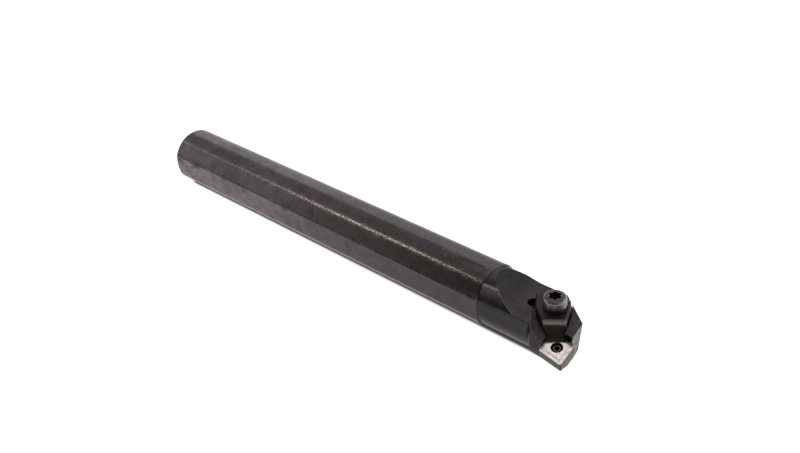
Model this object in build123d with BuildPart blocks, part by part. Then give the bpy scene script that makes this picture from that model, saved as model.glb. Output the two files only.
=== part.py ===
"""Boring bar with a clamped, pin-located diamond insert, left hand.

Frame: the origin is on the bar's axis at the middle of the shank. +X runs along the
bar to the cutting end, +Z is the side that the insert's top faces, and the cutting
nose lies on the -Y side. All sizes are in millimetres.
"""
import os
from math import cos, radians, sin, tan

from build123d import *

os.makedirs("parts", exist_ok=True)

# ---- Bar ----
bar_length = 300.0             # rear end to the cutting nose
shank_length = 245.5           # rear end to the step at the neck
shank_diameter = 32.0
rear_chamfer = 2.0
neck_step = 0.8                # how far the neck lies under the shank's surface
step_chamfer = 0.4
flat_depth = 1.1               # clamping flats, on the nose side and underneath

# ---- Cutting point ----
nose_offset = 22.0             # bar axis to the cutting nose
axial_rake = 6.0               # the insert's top falls towards the front
radial_rake = 12.0             # and towards the nose side

# ---- Insert ----
insert_circle = 12.7           # inscribed circle of the 80 degree diamond
insert_thickness = 4.76
insert_corner_radius = 0.8
insert_nose_angle = 80.0
insert_hole_diameter = 5.16
insert_hole_bevel = 0.3
edge_land = 0.35               # flat land along the cutting edges
chip_groove_width = 1.5
chip_groove_depth = 0.2

# ---- Shim ----
shim_thickness = 3.18
shim_inset = 0.4               # how far its edge lies inside the insert's
shim_corner_radius = 1.2

# ---- Lock pin ----
pin_side_gap = 0.35            # round the pin, in the insert and in the shim
pin_top_drop = 0.7             # pin top under the insert's top
pin_stud_diameter = 4.0        # in the bar, under the shim
pin_stud_length = 3.6
pin_top_bevel = 0.5
pin_hex_size = 2.5
pin_hex_depth = 2.2

# ---- Chip flute and head faces ----
flute_height = 6.6             # milled face above the bar's axis
ramp_angle = 28.8              # run-out of the milled face up to the neck
ramp_skew = 10.6               # the run-out's line against square
ramp_foot = 35.4               # start of the run-out, behind the nose
ramp_foot_radius = 12.0
front_angle = 11.5             # front face against square
front_relief = 11.5            # front face against upright
front_drop = 1.6               # front face behind the cutting nose
front_bevel_height = 6.9       # bevel under the front face, under the axis at the nose
front_bevel_back = 3.2         # and behind the nose
front_bevel_skew = 11.5        # it falls away from the nose
back_chamfer_angle = 36.3      # long upright chamfer at the back of the head
back_chamfer_start = 23.7      # where it leaves the neck, behind the nose
flare_start = 25.0             # where the head widens to the nose side, behind the nose
flare_length = 8.0
side_inset = 1.9               # nose side's face behind the insert's side edge
bore_inset = 0.95              # turned part of the nose side, behind the nose
bore_radius = 19.4             # roundness of the head that clears the bore
bevel_angle = 42.0             # bevel under the nose side, against upright
bevel_reach = 18.4             # its distance from the bar's axis, at the nose

# ---- Insert pocket ----
pocket_gap = 0.05              # between the insert's edge and the pocket's walls
corner_relief_radius = 1.6

# ---- Clamp ----
screw_back = 18.5              # screw axis behind the nose, along the bar
screw_inward = 21.6            # and in from the nose, across the bar
clamp_angle = 55.0             # direction of the clamp, from the bar's axis
clamp_rise = 4.0               # clamp top above the milled face
clamp_left = 9.1               # half widths at the screw: on the nose side,
clamp_right = 7.3              # and on the back of the head
clamp_rear = 10.0              # behind the screw
clamp_rear_bevel = 5.4         # cut-off rear corner over the back of the head
clamp_corner_radius = 1.2
clamp_front_half_width = 5.4
clamp_nose_half_width = 3.6
clamp_reach = 13.1             # nose tip, from the screw
clamp_front_run = 2.7          # length of the sloped front over the nose
clamp_pad = 2.2                # length of the nose that presses on the insert
clamp_edge_chamfer = 0.7
clamp_gap = 0.4                # over the recess floor and beside the heel
recess_depth = 2.1             # under the milled face
recess_left = 11.0             # on the nose side of the screw
recess_gap = 0.5               # round the clamp elsewhere
recess_corner_radius = 1.6
heel_slot_width = 6.0          # cross slot under the clamp's rear, with round ends
heel_slot_depth = 1.5          # under the recess
heel_slot_left = 13.3          # its end on the nose side, from the screw
heel_slot_right = 4.6

# ---- Clamp screw ----
screw_diameter = 6.0
screw_engagement = 11.0        # thread in the bar, under the recess
thread_gap = 0.05
screw_hole_gap = 0.35          # round the screw, in the clamp
screw_tip_gap = 1.5
screw_tip_bevel = 0.6
head_diameter = 11.2
head_height = 6.3
head_edge_radius = 1.5
head_top_rise = 0.3            # the head's top is slightly domed
socket_diameter = 6.6          # six-lobe socket, across the lobes
socket_lobe_radius = 1.15
socket_depth = 3.2

# ---- Places that follow from the sizes ----
shank_radius = shank_diameter / 2
neck_radius = shank_radius - neck_step
rear_x = -shank_length / 2
step_x = rear_x + shank_length
front_x = rear_x + bar_length
outside = shank_diameter * 2   # reach of a cut that must leave the bar

half_nose = radians(insert_nose_angle / 2)
diamond_long = insert_circle / 2 / sin(half_nose)
diamond_short = insert_circle / 2 / cos(half_nose)
nose_to_center = diamond_long - insert_corner_radius / sin(half_nose)
fall_x = tan(radians(axial_rake))
fall_y = tan(radians(radial_rake))

nose_arc = Vector(front_x - insert_corner_radius, insert_corner_radius - nose_offset, 0)
seat_normal = Vector(fall_x, -fall_y, 1).normalized()
nose_direction = Vector(1, -1, -(fall_x + fall_y)).normalized()
insert_top = Plane(
    origin=nose_arc - nose_direction * nose_to_center,
    x_dir=nose_direction,
    z_dir=seat_normal,
)
shim_top = insert_top.offset(-insert_thickness)
pocket_floor = shim_top.offset(-shim_thickness)

screw_x = front_x - screw_back
screw_y = screw_inward - nose_offset
clamp_top = flute_height + clamp_rise
recess_floor = flute_height - recess_depth
slot_floor = recess_floor - heel_slot_depth
heel_x = heel_slot_width / 2 - clamp_rear - recess_gap
heel_half = heel_slot_width / 2 - clamp_gap
clamp_bend = clamp_reach - clamp_front_run
clamp_direction = Vector(cos(radians(clamp_angle)), -sin(radians(clamp_angle)), 0)
clamp_plan = Plane(origin=(screw_x, screw_y, 0), x_dir=clamp_direction, z_dir=(0, 0, 1))
clamp_side = Plane(
    origin=(screw_x, screw_y, 0),
    x_dir=clamp_direction,
    z_dir=clamp_direction.cross(Vector(0, 0, 1)),
)

nose_tip = Vector(screw_x, screw_y, 0) + clamp_direction * clamp_reach
nose_rise = (nose_arc.X - nose_tip.X) * fall_x + (nose_tip.Y - nose_arc.Y) * fall_y
nose_floor = nose_rise - clamp_gap

pin_radius = insert_hole_diameter / 2 - pin_side_gap
pin_head_length = insert_thickness + shim_thickness - pin_top_drop
screw_radius = screw_diameter / 2 - thread_gap
stud_radius = pin_stud_diameter / 2 - thread_gap

# ---- Bar: shank, neck and head blank ----
with BuildPart() as bar_blank:
    with BuildSketch(Plane.XZ) as blank_half:
        with BuildLine():
            Polyline(
                (rear_x, 0),
                (rear_x, shank_radius - rear_chamfer),
                (rear_x + rear_chamfer, shank_radius),
                (step_x - step_chamfer, shank_radius),
                (step_x, shank_radius - step_chamfer),
                (step_x, neck_radius),
                (front_x, neck_radius),
                (front_x, 0),
                close=True,
            )
        make_face()
    revolve(axis=Axis.X)

# ---- Nose side of the head: turned off-centre, flat beside the insert ----
flare_x = front_x - flare_start
side_y = side_inset - nose_offset
bore_y = bore_radius - nose_offset + bore_inset
side_fall = tan(radians(90 - insert_nose_angle) / 2)
with BuildPart() as nose_side:
    with BuildSketch(Plane.XY.offset(-neck_radius)) as nose_plan:
        with BuildLine():
            Polyline(
                (flare_x, 0),
                (flare_x, side_y + side_fall * (front_x - flare_x)),
                (front_x, side_y),
                (front_x, 0),
                close=True,
            )
        make_face()
    extrude(amount=neck_radius + flute_height)
    with BuildSketch(Plane.XY) as bore_half:
        with BuildLine():
            Polyline(
                (flare_x, bore_y),
                (flare_x, -neck_radius + neck_step),
                (flare_x + flare_length, bore_y - bore_radius),
                (front_x, bore_y - bore_radius),
                (front_x, bore_y),
                close=True,
            )
        make_face()
    revolve(axis=Axis((0, bore_y, 0), (1, 0, 0)), mode=Mode.INTERSECT)

# ---- Bar: the whole holder ----
flute_section = Plane(
    origin=(front_x, 0, 0),
    x_dir=(cos(radians(ramp_skew)), sin(radians(ramp_skew)), 0),
    z_dir=(sin(radians(ramp_skew)), -cos(radians(ramp_skew)), 0),
)
ramp_run = (shank_diameter - flute_height) / tan(radians(ramp_angle))
front_normal = Vector(
    cos(radians(front_angle)), sin(radians(front_angle)), -tan(radians(front_relief))
).normalized()
front_face = Plane(origin=(front_x - front_drop, -nose_offset / 2, flute_height), z_dir=front_normal)
back_normal = Vector(sin(radians(back_chamfer_angle)), cos(radians(back_chamfer_angle)), 0)
back_origin = (front_x - back_chamfer_start, neck_radius, 0)
back_chamfer = Plane(origin=back_origin, x_dir=(0, 0, 1), z_dir=back_normal)
front_bevel = Plane(
    origin=(front_x - front_bevel_back, -nose_offset, -front_bevel_height),
    z_dir=(1, -tan(radians(front_bevel_skew)), -1),
)
bevel_normal = Vector(
    -side_fall, -cos(radians(bevel_angle)), -sin(radians(bevel_angle))
).normalized()
bevel_origin = Vector(front_x, 0, 0) + bevel_normal * bevel_reach
nose_bevel = Plane(origin=bevel_origin, x_dir=(1, 0, 0), z_dir=bevel_normal)

with BuildPart() as bar:
    add(bar_blank.part)
    add(nose_side.part)
    # clamping flats along the shank
    with BuildSketch(Plane.XZ.offset(shank_radius - flat_depth)) as side_flat:
        with Locations(((rear_x + step_x) / 2, 0)):
            Rectangle(shank_length, shank_diameter)
    extrude(amount=shank_radius, mode=Mode.SUBTRACT)
    with BuildSketch(Plane.XY.offset(flat_depth - shank_radius)) as bottom_flat:
        with Locations(((rear_x + step_x) / 2, 0)):
            Rectangle(shank_length, shank_diameter)
    extrude(amount=-shank_radius, mode=Mode.SUBTRACT)
    # chip flute with its run-out
    with BuildSketch(flute_section) as flute:
        with BuildLine():
            Polyline(
                (-ramp_foot - ramp_run, shank_diameter),
                (-ramp_foot, flute_height),
                (outside, flute_height),
                (outside, shank_diameter),
                close=True,
            )
        make_face()
        foot = flute.vertices().sort_by_distance((-ramp_foot, flute_height))[0]
        fillet(foot, ramp_foot_radius)
    extrude(amount=outside, both=True, mode=Mode.SUBTRACT)
    # front face, back chamfer and the two bevels under the head
    with BuildSketch(front_face):
        Rectangle(outside * 2, outside * 2)
    extrude(amount=outside, mode=Mode.SUBTRACT)
    with BuildSketch(back_chamfer):
        Rectangle(outside, outside * 2)
    extrude(amount=outside, mode=Mode.SUBTRACT)
    with BuildSketch(front_bevel):
        Rectangle(outside * 2, outside * 2)
    extrude(amount=outside, mode=Mode.SUBTRACT)
    with BuildSketch(nose_bevel):
        with Locations((outside - flare_start, 0)):
            Rectangle(outside * 2, outside * 2)
    extrude(amount=outside, mode=Mode.SUBTRACT)
    # insert pocket: two walls behind the insert, a drilled corner and the seat
    with BuildSketch(pocket_floor) as pocket:
        with BuildLine():
            Polyline(
                (-diamond_long - pocket_gap, 0),
                (diamond_long, 2 * diamond_short + pocket_gap),
                (diamond_long * 3, 2 * diamond_short),
                (diamond_long * 3, -2 * diamond_short),
                (diamond_long, -2 * diamond_short - pocket_gap),
                close=True,
            )
        make_face()
        with Locations((-diamond_long, 0)):
            Circle(corner_relief_radius)
    extrude(amount=outside, mode=Mode.SUBTRACT)
    # recess for the clamp, open to the pocket
    with BuildSketch(clamp_plan.offset(recess_floor)) as recess:
        with BuildLine():
            Polyline(
                (-clamp_rear - recess_gap, -recess_left),
                (-clamp_rear - recess_gap, clamp_right + recess_gap),
                (0, clamp_right + recess_gap),
                (clamp_bend, clamp_front_half_width + recess_gap),
                (clamp_reach + clamp_pad, clamp_nose_half_width + recess_gap),
                (nose_to_center + diamond_long, -clamp_nose_half_width),
                (nose_to_center + diamond_long, clamp_nose_half_width - recess_left),
                (clamp_bend, -recess_left + recess_gap),
                close=True,
            )
        make_face()
        rear_corners = recess.vertices().group_by(Axis((0, 0, 0), tuple(clamp_direction)))[0]
        fillet(rear_corners, recess_corner_radius)
    extrude(amount=outside, mode=Mode.SUBTRACT)
    # cross slot for the clamp's heel
    with BuildSketch(clamp_plan.offset(slot_floor)) as heel_slot:
        with Locations((heel_x, (heel_slot_right - heel_slot_left) / 2)):
            SlotOverall(heel_slot_left + heel_slot_right, heel_slot_width, rotation=90)
    extrude(amount=outside, mode=Mode.SUBTRACT)
    # room for the clamp's nose behind the insert
    with BuildSketch(clamp_plan.offset(nose_floor)) as nose_room:
        with Locations(((clamp_reach - clamp_pad + outside) / 2, 0)):
            Rectangle(outside - clamp_reach + clamp_pad, 2 * (clamp_nose_half_width + recess_gap))
        with Locations((clamp_reach - clamp_pad, 0)):
            Circle(clamp_nose_half_width + recess_gap)
    extrude(amount=outside, mode=Mode.SUBTRACT)
    # tapped hole of the clamp screw
    with Locations(clamp_plan.offset(recess_floor)):
        Hole(screw_diameter / 2, depth=screw_engagement + screw_tip_gap)
    # tapped hole of the lock pin, right through to the bevel
    with Locations(pocket_floor):
        Hole(pin_stud_diameter / 2, depth=shank_diameter)
bar.part.label = "bar"
export_step(bar.part, "parts/bar.step")

# ---- Shim: hardened seat under the insert, bevelled with the head ----
with BuildPart() as shim:
    with BuildSketch(pocket_floor) as shim_plan:
        Polygon(
            (diamond_long, 0),
            (0, diamond_short),
            (-diamond_long, 0),
            (0, -diamond_short),
            align=None,
        )
        offset(amount=-shim_inset, kind=Kind.INTERSECTION)
        fillet(shim_plan.vertices(), shim_corner_radius)
        Circle(pin_radius + pin_side_gap, mode=Mode.SUBTRACT)
    extrude(amount=shim_thickness)
    with BuildSketch(nose_bevel):
        Rectangle(outside * 2, outside * 2)
    extrude(amount=outside, mode=Mode.SUBTRACT)
    with BuildSketch(front_bevel):
        Rectangle(outside * 2, outside * 2)
    extrude(amount=outside, mode=Mode.SUBTRACT)
shim.part.label = "shim"
export_step(shim.part, "parts/shim.step")

# ---- Insert: diamond with a land and a chip groove round its top ----
with BuildPart() as insert:
    with BuildSketch(shim_top) as insert_plan:
        Polygon(
            (diamond_long, 0),
            (0, diamond_short),
            (-diamond_long, 0),
            (0, -diamond_short),
            align=None,
        )
        fillet(insert_plan.vertices(), insert_corner_radius)
    extrude(amount=insert_thickness)
    with BuildSketch(insert_top) as groove:
        Polygon(
            (diamond_long, 0),
            (0, diamond_short),
            (-diamond_long, 0),
            (0, -diamond_short),
            align=None,
        )
        offset(amount=-edge_land, kind=Kind.INTERSECTION)
        fillet(groove.vertices(), insert_corner_radius)
        offset(amount=-chip_groove_width, kind=Kind.INTERSECTION, mode=Mode.SUBTRACT)
    extrude(amount=-chip_groove_depth, mode=Mode.SUBTRACT)
    with Locations(insert_top):
        Hole(insert_hole_diameter / 2, depth=insert_thickness)
    mouth = insert.edges().filter_by(GeomType.CIRCLE).filter_by(
        lambda e: abs(e.radius - insert_hole_diameter / 2) < insert_hole_bevel
    )
    chamfer(mouth, insert_hole_bevel)
insert.part.label = "insert"
export_step(insert.part, "parts/insert.step")

# ---- Lock pin: head inside the shim and the insert, on a thinner stud ----
pin_top = insert_top.offset(-pin_top_drop)
with BuildPart() as lock_pin:
    with BuildSketch(pocket_floor):
        Circle(pin_radius)
    extrude(amount=pin_head_length)
    top_rim = lock_pin.edges().sort_by(Axis.Z)[-1]
    chamfer(top_rim, pin_top_bevel)
    with BuildSketch(pocket_floor):
        Circle(stud_radius)
    extrude(amount=-pin_stud_length)
    with BuildSketch(pin_top):
        RegularPolygon(pin_hex_size / 2, 6, major_radius=False)
    extrude(amount=-pin_hex_depth, mode=Mode.SUBTRACT)
lock_pin.part.label = "lock_pin"
export_step(lock_pin.part, "parts/lock_pin.step")

# ---- Clamp: square rear over the heel slot, narrowing to the nose on the insert ----
with BuildPart() as clamp:
    with BuildSketch(clamp_plan.offset(slot_floor)) as clamp_outline:
        with BuildLine():
            Polyline(
                (-clamp_rear, -clamp_left),
                (0, -clamp_left),
                (clamp_bend, -clamp_front_half_width),
                (clamp_reach, -clamp_nose_half_width),
                (clamp_reach, clamp_nose_half_width),
                (clamp_bend, clamp_front_half_width),
                (0, clamp_right),
                (clamp_rear_bevel - clamp_rear, clamp_right),
                (-clamp_rear, clamp_right - clamp_rear_bevel),
                close=True,
            )
        make_face()
        rear_corners = clamp_outline.vertices().group_by(Axis((0, 0, 0), tuple(clamp_direction)))[0]
        fillet(rear_corners, clamp_corner_radius)
    extrude(amount=clamp_top - slot_floor)
    # side profile: sloped front face, raised underside, heel in its slot
    with BuildSketch(clamp_side) as clamp_profile:
        with BuildLine():
            Polyline(
                (-outside, clamp_top),
                (-outside, recess_floor + clamp_gap),
                (heel_x - heel_half, recess_floor + clamp_gap),
                (heel_x - heel_half, slot_floor),
                (heel_x + heel_half, slot_floor),
                (heel_x + heel_half, recess_floor + clamp_gap),
                (clamp_reach - clamp_pad, recess_floor + clamp_gap),
                (clamp_reach - clamp_pad, nose_floor),
                (clamp_reach, nose_floor),
                (clamp_bend, clamp_top),
                close=True,
            )
        make_face()
    extrude(amount=outside, both=True, mode=Mode.INTERSECT)
    # the heel's ends clear the slot's ends
    with BuildSketch(clamp_plan.offset(slot_floor)) as heel_ends:
        with Locations((-outside / 2, 0)):
            Rectangle(outside, outside * 2)
        with Locations((heel_x, (heel_slot_right - heel_slot_left) / 2)):
            SlotOverall(
                heel_slot_left + heel_slot_right - 2 * clamp_gap,
                2 * heel_half,
                rotation=90,
                mode=Mode.SUBTRACT,
            )
    extrude(amount=recess_floor + clamp_gap - slot_floor, mode=Mode.SUBTRACT)
    # the nose's foot goes down between the pocket's walls
    with BuildSketch(clamp_plan.offset(nose_floor)) as foot_sides:
        with Locations((outside / 2, 0)):
            Rectangle(outside, outside * 2)
            Rectangle(outside, 2 * clamp_nose_half_width, mode=Mode.SUBTRACT)
    extrude(amount=recess_floor + clamp_gap - nose_floor, mode=Mode.SUBTRACT)
    # and is ground to lie on the insert's top
    with BuildSketch(insert_top) as ground_foot:
        Rectangle(2 * diamond_long, 2 * diamond_short)
    extrude(amount=-insert_thickness, mode=Mode.SUBTRACT)
    top_face = clamp.faces().sort_by(Axis.Z)[-1]
    chamfer(top_face.edges(), clamp_edge_chamfer)
    with Locations(clamp_plan.offset(clamp_top)):
        Hole(screw_diameter / 2 + screw_hole_gap)
clamp.part.label = "clamp"
export_step(clamp.part, "parts/clamp.step")

# ---- Clamp screw: domed head with a six-lobe socket ----
screw_tip = recess_floor - screw_engagement
with BuildPart() as clamp_screw:
    with BuildSketch(clamp_side) as screw_half:
        with BuildLine():
            head_side = Polyline(
                (0, clamp_top + head_height),
                (0, screw_tip),
                (screw_radius - screw_tip_bevel, screw_tip),
                (screw_radius, screw_tip + screw_tip_bevel),
                (screw_radius, clamp_top),
                (head_diameter / 2, clamp_top),
                (head_diameter / 2, clamp_top + head_height - head_top_rise - head_edge_radius),
            )
            head_edge = RadiusArc(
                head_side @ 1,
                (head_diameter / 2 - head_edge_radius, clamp_top + head_height - head_top_rise),
                -head_edge_radius,
            )
            Line(head_edge @ 1, head_side @ 0)
        make_face()
    revolve(axis=Axis((screw_x, screw_y, 0), (0, 0, 1)))
    with BuildSketch(clamp_plan.offset(clamp_top + head_height)) as socket:
        Circle(socket_diameter / 2 - socket_lobe_radius)
        with PolarLocations(socket_diameter / 2 - socket_lobe_radius, 6):
            Circle(socket_lobe_radius)
    extrude(amount=-socket_depth, mode=Mode.SUBTRACT)
clamp_screw.part.label = "clamp_screw"
export_step(clamp_screw.part, "parts/clamp_screw.step")
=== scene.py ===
import math

import bmesh
import bpy
from mathutils import Matrix, Vector


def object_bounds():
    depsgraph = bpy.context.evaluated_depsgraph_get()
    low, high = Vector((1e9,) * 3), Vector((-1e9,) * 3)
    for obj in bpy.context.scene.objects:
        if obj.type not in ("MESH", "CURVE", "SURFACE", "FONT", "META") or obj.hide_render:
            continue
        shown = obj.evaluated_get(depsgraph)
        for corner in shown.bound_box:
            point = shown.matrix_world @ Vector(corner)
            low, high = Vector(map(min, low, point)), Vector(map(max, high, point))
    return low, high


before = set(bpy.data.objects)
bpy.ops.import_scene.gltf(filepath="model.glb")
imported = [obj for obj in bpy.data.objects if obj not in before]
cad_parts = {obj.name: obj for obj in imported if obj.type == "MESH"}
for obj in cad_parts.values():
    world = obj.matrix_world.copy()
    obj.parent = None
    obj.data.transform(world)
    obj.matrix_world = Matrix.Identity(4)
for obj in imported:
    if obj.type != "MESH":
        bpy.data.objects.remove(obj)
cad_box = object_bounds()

scene = bpy.context.scene

# ---- Bench and studio ----
# The bar lies rake face up on a lit white bench, painted dark where the bar shades it. A
# white wall stands behind it, the ceiling and the near side of the room are dim, a softbox
# hangs over the head and two warm strip lamps draw a line along the shank.
bench_size = 8.0
bench_colour = (0.55, 0.55, 0.55, 1)
bench_glow = 1.75
bench_height = min(cad_box[0][2], 0.0)
shade_left = -0.115
shade_right = 0.155
shade_core = 0.0082
shade_end = 0.0104

bench_mesh = bpy.data.meshes.new("bench")
bench_edit = bmesh.new()
bmesh.ops.create_grid(bench_edit, x_segments=4, y_segments=4, size=bench_size / 2)
for corner in bench_edit.verts:
    corner.co.z = bench_height
bench_edit.to_mesh(bench_mesh)
bench_edit.free()
bench = bpy.data.objects.new("bench", bench_mesh)
scene.collection.objects.link(bench)
bench_paint = bpy.data.materials.new("bench_white")
bench_paint.use_nodes = True
bench_shader = bench_paint.node_tree.nodes["Principled BSDF"]
bench_shader.inputs["Roughness"].default_value = 0.8
bench_shader.inputs["Specular IOR Level"].default_value = 0.1
bench_shader.inputs["Emission Strength"].default_value = bench_glow
bench_nodes = bench_paint.node_tree.nodes
bench_links = bench_paint.node_tree.links
bench_place = bench_nodes.new("ShaderNodeTexCoord")
bench_shift = bench_nodes.new("ShaderNodeVectorMath")
bench_shift.operation = "SUBTRACT"
bench_shift.inputs[1].default_value = ((shade_left + shade_right) / 2, 0.0, bench_height)
bench_fold = bench_nodes.new("ShaderNodeVectorMath")
bench_fold.operation = "ABSOLUTE"
bench_less = bench_nodes.new("ShaderNodeVectorMath")
bench_less.operation = "SUBTRACT"
bench_less.inputs[1].default_value = ((shade_right - shade_left) / 2, 0.0, 0.0)
bench_clip = bench_nodes.new("ShaderNodeVectorMath")
bench_clip.operation = "MAXIMUM"
bench_away = bench_nodes.new("ShaderNodeVectorMath")
bench_away.operation = "LENGTH"
bench_soft = bench_nodes.new("ShaderNodeMapRange")
bench_soft.interpolation_type = "SMOOTHSTEP"
bench_soft.inputs["From Min"].default_value = shade_core
bench_soft.inputs["From Max"].default_value = shade_end
bench_mix = bench_nodes.new("ShaderNodeMix")
bench_mix.data_type = "RGBA"
bench_mix.inputs[6].default_value = (0.03, 0.028, 0.028, 1)
bench_mix.inputs[7].default_value = bench_colour
for out, into in (
    (bench_place.outputs["Object"], bench_shift.inputs[0]),
    (bench_shift.outputs[0], bench_fold.inputs[0]),
    (bench_fold.outputs[0], bench_less.inputs[0]),
    (bench_less.outputs[0], bench_clip.inputs[0]),
    (bench_clip.outputs[0], bench_away.inputs[0]),
    (bench_away.outputs["Value"], bench_soft.inputs["Value"]),
    (bench_soft.outputs[0], bench_mix.inputs[0]),
    (bench_mix.outputs[2], bench_shader.inputs["Emission Color"]),
    (bench_mix.outputs[2], bench_shader.inputs["Base Color"]),
):
    bench_links.new(out, into)
bench_mesh.materials.append(bench_paint)


def hang_softbox(name, place, aim, width, depth, power, colour=(1, 1, 1)):
    """A flat studio lamp at a place in metres, facing a point, with its width along the bar."""
    lamp = bpy.data.lights.new(name, "AREA")
    lamp.shape = "RECTANGLE"
    lamp.size = width
    lamp.size_y = depth
    lamp.energy = power
    lamp.color = colour
    holder = bpy.data.objects.new(name, lamp)
    scene.collection.objects.link(holder)
    back = (Vector(place) - Vector(aim)).normalized()
    along = Vector((1, 0, 0))
    side = (along - along.dot(back) * back).normalized()
    turn = Matrix((side, back.cross(side), back)).transposed().to_4x4()
    holder.matrix_world = Matrix.Translation(place) @ turn


warm_white = (1.0, 0.86, 0.68)
soft_white = (1.0, 0.92, 0.82)
hang_softbox("overhead_softbox", (-0.10, 0.28, 0.95), (0.17, -0.01, 0.0), 0.55, 0.45, 1.1)
hang_softbox(
    "warm_strip", (-0.545, -0.31, 0.727), (0.06, 0.0, 0.0), 0.25, 0.026, 0.34, warm_white
)
hang_softbox(
    "dim_strip", (-0.86, -0.27, 0.727), (-0.05, 0.0, 0.0), 0.38, 0.030, 0.07, soft_white
)

wall_slope = 0.80
near_slope = 0.55
wall_light = 1.25
ceiling_light = 0.44
near_light_left = 0.72
near_light_right = 0.06
room = bpy.data.worlds.new("pale_room")
scene.world = room
room.use_nodes = True
room_tree = room.node_tree


def room_step(value, low, high, start, end):
    """A smooth change of the room's light where a value passes from low to high."""
    made = room_tree.nodes.new("ShaderNodeMapRange")
    made.interpolation_type = "SMOOTHSTEP"
    for name, number in (("From Min", low), ("From Max", high), ("To Min", start), ("To Max", end)):
        made.inputs[name].default_value = number
    room_tree.links.new(value, made.inputs["Value"])
    return made.outputs[0]


def room_sum(operation, first, second):
    """Two of the room's values put together."""
    made = room_tree.nodes.new("ShaderNodeMath")
    made.operation = operation
    for at, value in enumerate((first, second)):
        if isinstance(value, float):
            made.inputs[at].default_value = value
        else:
            room_tree.links.new(value, made.inputs[at])
    return made.outputs[0]


room_direction = room_tree.nodes.new("ShaderNodeTexCoord")
room_split = room_tree.nodes.new("ShaderNodeSeparateXYZ")
room_tree.links.new(room_direction.outputs["Generated"], room_split.inputs[0])
room_x, room_y, room_z = room_split.outputs
wall_edge = room_sum("SUBTRACT", room_y, room_sum("MULTIPLY", room_z, wall_slope))
wall_part = room_step(wall_edge, -0.012, 0.012, 0.0, wall_light - ceiling_light)
near_edge = room_sum("SUBTRACT", room_sum("MULTIPLY", room_z, -near_slope), room_y)
near_share = room_step(near_edge, -0.10, 0.10, 0.0, 1.0)
near_level = room_sum(
    "MULTIPLY",
    room_step(room_x, -0.86, -0.40, near_light_left, near_light_right),
    room_step(room_z, 0.03, 0.12, 0.3, 1.0),
)
near_part = room_sum("MULTIPLY", near_share, room_sum("SUBTRACT", near_level, ceiling_light))
room_strength = room_sum("ADD", room_sum("ADD", wall_part, near_part), ceiling_light)
room_seen = room_tree.nodes.new("ShaderNodeLightPath").outputs["Is Camera Ray"]
room_shown = room_sum("MAXIMUM", room_strength, room_sum("MULTIPLY", room_seen, wall_light))
room_tree.links.new(room_shown, room_tree.nodes["Background"].inputs["Strength"])
room_tree.nodes["Background"].inputs["Color"].default_value = (0.97, 0.98, 1.0, 1)

camera_data = bpy.data.cameras.new("camera")
camera_data.lens = 45.38
camera_data.sensor_width = 36.0
camera_data.clip_start = 0.01
camera = bpy.data.objects.new("camera", camera_data)
scene.collection.objects.link(camera)
camera.location = (0.37944, -0.29515, 0.30563)
camera.rotation_euler = (math.radians(56.1413), math.radians(5.4948), math.radians(43.6053))
scene.camera = camera
scene.view_settings.view_transform = "Standard"

# ---- Holder bar ----
# One piece of alloy steel: turned shank with two milled flats, a turned neck and a milled
# head. It is black-oxide finished, rubbed thin along its edges and stained by oil and use.
# Painted sheen and shade lie over it along the shank, on the neck and in the flute.


class Value:
    """A number or colour that flows through a material, written as a Python expression."""

    def __init__(self, finish, socket):
        self.finish = finish
        self.socket = socket

    def _maths(self, operation, first, second):
        return self.finish.node(
            "ShaderNodeMath", {"operation": operation}, {0: first, 1: second}
        )

    def __add__(self, other):
        return self._maths("ADD", self, other)

    __radd__ = __add__

    def __mul__(self, other):
        return self._maths("MULTIPLY", self, other)

    __rmul__ = __mul__

    def __sub__(self, other):
        return self._maths("SUBTRACT", self, other)

    def __rsub__(self, other):
        return self._maths("SUBTRACT", other, self)

    def __pow__(self, other):
        return self._maths("POWER", self, other)


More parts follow.
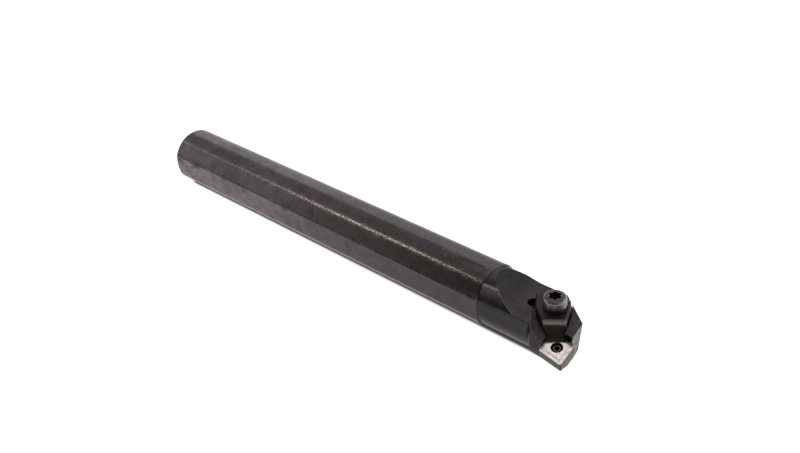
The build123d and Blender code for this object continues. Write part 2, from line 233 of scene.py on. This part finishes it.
class Finish:
    """One surface finish: its material, its shader and the nodes that vary it."""

    def __init__(self, name):
        self.material = bpy.data.materials.new(name)
        self.material.use_nodes = True
        self.tree = self.material.node_tree
        self.shader = self.tree.nodes["Principled BSDF"]

    def node(self, kind, settings, inputs, output=0):
        made = self.tree.nodes.new(kind)
        for name, value in settings.items():
            setattr(made, name, value)
        for name, value in inputs.items():
            if isinstance(value, Value):
                self.tree.links.new(value.socket, made.inputs[name])
            else:
                made.inputs[name].default_value = value
        return Value(self, made.outputs[output])

    def place(self):
        """Where a point lies on the piece, in metres in the bar's frame."""
        return self.node("ShaderNodeTexCoord", {}, {}, "Object")

    def axis(self, place, letter):
        """One of a place's three coordinates, in millimetres."""
        return self.node("ShaderNodeSeparateXYZ", {}, {0: place}, letter) * 1000.0

    def noise(self, place, per_metre, detail=4.0, roughness=0.55, stretch=(1, 1, 1), warp=0.0):
        """Cloudy variation, 0 to 1, with its size given by the waves in a metre."""
        turned = self.node("ShaderNodeMapping", {}, {"Vector": place, "Scale": stretch})
        return self.node(
            "ShaderNodeTexNoise",
            {},
            {
                "Vector": turned, "Scale": per_metre, "Detail": detail,
                "Roughness": roughness, "Distortion": warp,
            },
        )

    def step(self, value, low, high):
        """0 under low, 1 over high and smooth between."""
        return self.node(
            "ShaderNodeMapRange",
            {"interpolation_type": "SMOOTHSTEP"},
            {"Value": value, "From Min": low, "From Max": high, "To Min": 0.0, "To Max": 1.0},
        )

    def blend(self, share, first, second):
        """A colour between two, by a share."""
        made = self.tree.nodes.new("ShaderNodeMix")
        made.data_type = "RGBA"
        for at, value in ((0, share), (6, first), (7, second)):
            if isinstance(value, Value):
                self.tree.links.new(value.socket, made.inputs[at])
            elif at:
                made.inputs[at].default_value = (*value, 1)
            else:
                made.inputs[at].default_value = value
        return Value(self, made.outputs[2])

    def edges(self, reach, low, high):
        """1 on sharp edges and 0 on open faces, from how far a rounded edge would turn."""
        rounded = self.node("ShaderNodeBevel", {"samples": 6}, {"Radius": reach})
        facing = self.node("ShaderNodeNewGeometry", {}, {}, "Normal")
        alike = self.node(
            "ShaderNodeVectorMath", {"operation": "DOT_PRODUCT"}, {0: rounded, 1: facing}, "Value"
        )
        return self.step(1.0 - alike, low, high)

    def relief(self, height, depth, strength, radius):
        """Turns a height from 0 to 1 into bumps of that depth in metres, on rounded edges."""
        inputs = {"Height": height, "Distance": depth, "Strength": strength}
        inputs["Normal"] = self.node("ShaderNodeBevel", {"samples": 6}, {"Radius": radius})
        return self.node("ShaderNodeBump", {}, inputs)

    def feed(self, **sockets):
        """Sets the shader's sockets, named with underscores for spaces."""
        for name, value in sockets.items():
            socket = self.shader.inputs[name.replace("_", " ")]
            if isinstance(value, Value):
                self.tree.links.new(value.socket, socket)
            else:
                socket.default_value = value


def put_on(node, finish):
    """Gives a solid of the frame its finish."""
    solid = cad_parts[node]
    solid.data.materials.clear()
    solid.data.materials.append(finish.material)


step_x = 122.75
tail_x = -122.75
flat_y = -14.9

oxide = Finish("black_oxide")
bar_place = oxide.place()
bar_x = oxide.axis(bar_place, "X")
bar_y = oxide.axis(bar_place, "Y")
bar_z = oxide.axis(bar_place, "Z")
bar_facing = oxide.node("ShaderNodeNewGeometry", {}, {}, "Normal")
bar_up = oxide.node("ShaderNodeSeparateXYZ", {}, {0: bar_facing}, "Z")
faces_up = oxide.step(bar_up, 0.80, 0.86)
level = oxide.step(bar_up, 0.88, 0.995)
faces_front = oxide.step(oxide.node("ShaderNodeSeparateXYZ", {}, {0: bar_facing}, "X"), 0.5, 0.7)
cloud = oxide.noise(bar_place, 34.0, 5.0, 0.6)
speck = oxide.noise(bar_place, 900.0, 3.0, 0.7)
mottle = oxide.noise(bar_place, 160.0, 6.0, 0.65, warp=0.6)
stain = oxide.noise(bar_place, 120.0, 4.0, 0.6, stretch=(0.7, 1.0, 1.3), warp=0.15)
streak = oxide.noise(bar_place, 30.0, 4.0, 0.6, stretch=(1.0, 22.0, 22.0))
upright = oxide.noise(bar_place, 60.0, 4.0, 0.6, stretch=(14.0, 14.0, 1.0))
dash = oxide.noise(bar_place, 230.0, 4.0, 0.65, warp=0.3)
turning = oxide.noise(bar_place, 120.0, 3.0, 0.5, stretch=(26.0, 1.0, 1.0))
worn = oxide.edges(0.0006, 0.02, 0.16) * oxide.step(mottle, 0.36, 0.62)
on_head = oxide.step(bar_x, step_x - 0.2, step_x + 0.2)
on_flat = oxide.step(0.0 - bar_y, -flat_y - 0.15, -flat_y + 0.05) * (1.0 - on_head)
# The shank is painted lighter toward the tail, a painted sheen for its brighter reflections there.
# The same ramp also sets how much the side flat darkens and how much stain it carries.
toward_tail = 1.0 - oxide.step(bar_x, tail_x, step_x)
tail_sheen_colour = oxide.blend(toward_tail, (0.094, 0.076, 0.080), (0.205, 0.172, 0.182))
clouded = oxide.blend(oxide.step(cloud, 0.42, 0.62) * 0.45, tail_sheen_colour, (0.098, 0.096, 0.084))
dusted = oxide.blend(oxide.step(mottle, 0.40, 0.62) * 0.30, clouded, (0.050, 0.044, 0.044))
rubbed = oxide.blend(oxide.step(speck, 0.56, 0.72) * 0.30, dusted, (0.27, 0.235, 0.225))
# The side flat is painted darker toward the head, a painted shade.
flat_shaded = oxide.blend(on_flat * (0.02 + 0.42 * (1.0 - toward_tail)), rubbed, (0.030, 0.021, 0.024))
stained = oxide.blend(
    oxide.step(stain, 0.56, 0.68) * (0.25 + 0.5 * on_flat) * (0.4 + 0.6 * toward_tail),
    flat_shaded, (0.030, 0.018, 0.024),
)
flute_start = step_x + 6.0
flute_end = step_x + 26.0
along_flute = oxide.step(bar_x, flute_start, flute_end)
# The flute is painted dark by the scoop and lighter along its run, a painted shading that hides the
# crease between its faces, broken by streaks.
flute_shading = oxide.blend(
    along_flute * (0.6 + 0.4 * streak), (0.028, 0.027, 0.0265), (0.100, 0.088, 0.089)
)
milled = oxide.blend(level, flute_shading, (0.072, 0.062, 0.063))
# The neck is painted lighter on top and at its foot and dark between, painted reflections of the
# wall and of the bench.
neck_top = oxide.step(bar_z, 7.0, 12.0)
neck_foot = 1.0 - oxide.step(bar_z, -10.0, 0.5)
neck_side = oxide.blend(neck_foot, (0.037, 0.034, 0.035), (0.125, 0.104, 0.107))
neck = oxide.blend(neck_top * (1.0 - along_flute), neck_side, (0.230, 0.203, 0.206))
headed = oxide.blend(faces_up * 0.9, neck, milled)
fronted = oxide.blend(faces_front * (0.5 + 0.5 * upright), headed, (0.085, 0.080, 0.080))
# The scoop's edge is lightened: rubbed to bright metal and partly a painted highlight.
scoop_edge_wear_and_highlight = oxide.edges(0.0005, 0.01, 0.10) * oxide.step(bar_x, step_x + 5.0, step_x + 9.0) * (
    1.0 - oxide.step(bar_x, step_x + 18.0, step_x + 24.0)
) * oxide.step(0.0 - bar_y, 1.0, 5.0) * 0.8
oxide_open = oxide.blend(on_head, stained, fronted)
oxide_worn = oxide.blend(worn * 0.45, oxide_open, (0.20, 0.18, 0.17))
oxide_rough = (
    0.10 + 0.06 * cloud + 0.12 * oxide.step(speck, 0.45, 0.75)
    + 0.10 * oxide.step(dash, 0.46, 0.58) + 0.34 * on_head * faces_up + 0.05 * on_head
)
oxide.feed(
    Base_Color=oxide.blend(scoop_edge_wear_and_highlight, oxide_worn, (0.45, 0.41, 0.40)),
    Metallic=0.92,
    Specular_IOR_Level=0.3,
    Specular_Tint=(0.55, 0.55, 0.55, 1),
    Roughness=oxide_rough,
    Normal=oxide.relief(
        speck * 1.1 + turning * 0.2 * (1.0 - on_head) + mottle * 0.35 + streak * 0.4 * on_head,
        0.00006, 0.5, 0.00025,
    ),
)
put_on("bar", oxide)

# ---- Shim ----
# Ground carbide seat under the insert, dull and browned by heat.
seat = Finish("shim_carbide")
shim_place = seat.place()
shim_grain = seat.noise(shim_place, 700.0, 4.0, 0.6)
shim_edge = seat.edges(0.0003, 0.02, 0.16)
shim_colour = seat.blend(shim_grain, (0.070, 0.052, 0.045), (0.11, 0.088, 0.078))
seat.feed(
    Base_Color=seat.blend(shim_edge * 0.5, shim_colour, (0.45, 0.42, 0.40)),
    Metallic=0.8,
    Roughness=0.36 + 0.16 * shim_grain,
    Normal=seat.relief(shim_grain, 0.00002, 0.4, 0.00012),
)
put_on("shim", seat)

# ---- Insert ----
# Pressed and ground carbide diamond, bright and scratched on its lapped front half, with
# brown sides. The half under the clamp is painted near black, which stands in for the cover
# and the shade that higher pocket walls would give it.
screw_at = (158.75, -0.4)
clamp_along = (0.5736, -0.8192)
clamp_across = (0.8192, 0.5736)
shelter_start = 15.6
shelter_end = 16.9

carbide = Finish("carbide")
insert_place = carbide.place()
insert_x = carbide.axis(insert_place, "X") - screw_at[0]
insert_y = carbide.axis(insert_place, "Y") - screw_at[1]
insert_along = insert_x * clamp_along[0] + insert_y * clamp_along[1]
insert_across = insert_x * clamp_across[0] + insert_y * clamp_across[1]
drawn = carbide.node("ShaderNodeCombineXYZ", {}, {"X": insert_along * 0.22, "Y": insert_across})
insert_scratch = carbide.noise(drawn, 2.2, 5.0, 0.7)
insert_grain = carbide.noise(insert_place, 900.0, 5.0, 0.65)
insert_cloud = carbide.noise(insert_place, 190.0, 3.0, 0.55)
insert_blotch = carbide.noise(insert_place, 420.0, 3.0, 0.5, warp=0.5)
insert_facing = carbide.node("ShaderNodeNewGeometry", {}, {}, "Normal")
insert_up = carbide.node("ShaderNodeSeparateXYZ", {}, {0: insert_facing}, "Z")
lapped = carbide.step(insert_up, 0.80, 0.93)
insert_edge = carbide.edges(0.0003, 0.02, 0.16)
side_colour = carbide.blend(insert_cloud, (0.028, 0.020, 0.018), (0.066, 0.050, 0.046))
scratched = carbide.blend(
    carbide.step(insert_scratch, 0.35, 0.65), (0.42, 0.335, 0.315), (0.84, 0.77, 0.75)
)
top_colour = carbide.blend(
    carbide.step(insert_blotch, 0.56, 0.72) * 0.35, scratched, (0.30, 0.20, 0.185)
)
clean_colour = carbide.blend(
    insert_edge * 0.5, carbide.blend(lapped, side_colour, top_colour), (0.80, 0.75, 0.72)
)
shelter_line = insert_along + (insert_cloud - 0.5) * 1.6
sheltered = 1.0 - carbide.step(shelter_line, shelter_start, shelter_end)
carbide.feed(
    Base_Color=carbide.blend(sheltered * 0.97, clean_colour, (0.013, 0.010, 0.009)),
    Metallic=0.9,
    Specular_IOR_Level=0.3,
    Roughness=0.24 + 0.12 * insert_grain + 0.14 * insert_scratch + 0.2 * sheltered,
    Normal=carbide.relief(insert_grain * 0.5 + insert_scratch * 0.8, 0.00003, 0.5, 0.00010),
)
put_on("insert", carbide)

# ---- Lock pin ----
# Oily dark steel pin inside the insert's hole, with a hexagon socket.
pin = Finish("pin_steel")
pin_place = pin.place()
pin_grain = pin.noise(pin_place, 800.0, 4.0, 0.6)
pin_edge = pin.edges(0.0003, 0.02, 0.16)
pin_colour = pin.blend(pin_grain, (0.062, 0.038, 0.030), (0.12, 0.078, 0.060))
pin.feed(
    Base_Color=pin.blend(pin_edge * 0.5, pin_colour, (0.40, 0.33, 0.28)),
    Metallic=0.85,
    Roughness=0.28 + 0.15 * pin_grain,
    Normal=pin.relief(pin_grain, 0.00002, 0.4, 0.00012),
)
put_on("lock_pin", pin)

# ---- Clamp ----
# Hardened and browned steel strap clamp, near black on its slopes and rubbed to a warm grey
# along its edges, with a painted highlight over the bend of its front.
bend_at = 10.4
bend_fade = 11.3

brown = Finish("clamp_steel")
clamp_place = brown.place()
clamp_x = brown.axis(clamp_place, "X") - screw_at[0]
clamp_y = brown.axis(clamp_place, "Y") - screw_at[1]
clamp_run = clamp_x * clamp_along[0] + clamp_y * clamp_along[1]
clamp_cloud = brown.noise(clamp_place, 220.0, 5.0, 0.6)
clamp_grain = brown.noise(clamp_place, 1100.0, 3.0, 0.6)
clamp_edge = brown.edges(0.0007, 0.01, 0.12) * (0.4 + 0.6 * brown.step(clamp_cloud, 0.3, 0.55))
# A painted highlight over the bend of the front.
bend_rise = brown.step(clamp_run, bend_at - 0.9, bend_at)
bend = bend_rise * (1.0 - brown.step(clamp_run, bend_at + 0.4, bend_fade))
clamp_base = brown.blend(clamp_cloud, (0.014, 0.0105, 0.0095), (0.040, 0.030, 0.028))
clamp_with_bend_highlight = brown.blend(bend * (0.5 + 0.5 * clamp_cloud), clamp_base, (0.34, 0.27, 0.235))
brown.feed(
    Base_Color=brown.blend(clamp_edge * 0.32, clamp_with_bend_highlight, (0.36, 0.30, 0.26)),
    Metallic=0.85,
    Specular_IOR_Level=0.3,
    Roughness=0.36 + 0.18 * clamp_cloud,
    Normal=brown.relief(clamp_grain * 0.5 + clamp_cloud * 0.5, 0.00004, 0.45, 0.00030),
)
put_on("clamp", brown)

# ---- Clamp screw ----
# Turned screw with a black finish. Its nearly flat face keeps the black and its side is painted
# a little lighter, a painted sheen. Its rounded rim is rubbed bright and partly a painted
# highlight, and the lobes of its socket are rubbed bright by the key.
rim_start = 4.5
rim_end = 5.3

black = Finish("screw_steel")
screw_place = black.place()
screw_x = black.axis(screw_place, "X") - screw_at[0]
screw_y = black.axis(screw_place, "Y") - screw_at[1]
screw_out = (screw_x * screw_x + screw_y * screw_y) ** 0.5
screw_facing = black.node("ShaderNodeNewGeometry", {}, {}, "Normal")
screw_up = black.node("ShaderNodeSeparateXYZ", {}, {0: screw_facing}, "Z")
screw_grain = black.noise(screw_place, 900.0, 4.0, 0.6)
screw_edge = black.edges(0.0005, 0.015, 0.14)
rim = black.step(screw_out, rim_start, rim_end) * black.step(screw_up, 0.10, 0.45)
# The side is painted lighter than the face, a painted sheen over the black finish.
blackened_with_side_sheen = black.blend(
    screw_up, black.blend(screw_grain, (0.150, 0.138, 0.138), (0.190, 0.175, 0.176)),
    black.blend(screw_grain, (0.040, 0.036, 0.037), (0.078, 0.070, 0.072)),
)
# The rim is rubbed bright and partly a painted highlight.
rim_wear_and_highlight = black.blend(rim * (0.3 + 0.6 * screw_grain), blackened_with_side_sheen, (0.34, 0.32, 0.315))
black.feed(
    Base_Color=black.blend(screw_edge * 0.3, rim_wear_and_highlight, (0.55, 0.52, 0.50)),
    Metallic=0.9,
    Specular_IOR_Level=0.3,
    Roughness=0.22 + 0.12 * screw_grain,
    Normal=black.relief(screw_grain, 0.00002, 0.25, 0.00015),
)
put_on("clamp_screw", black)
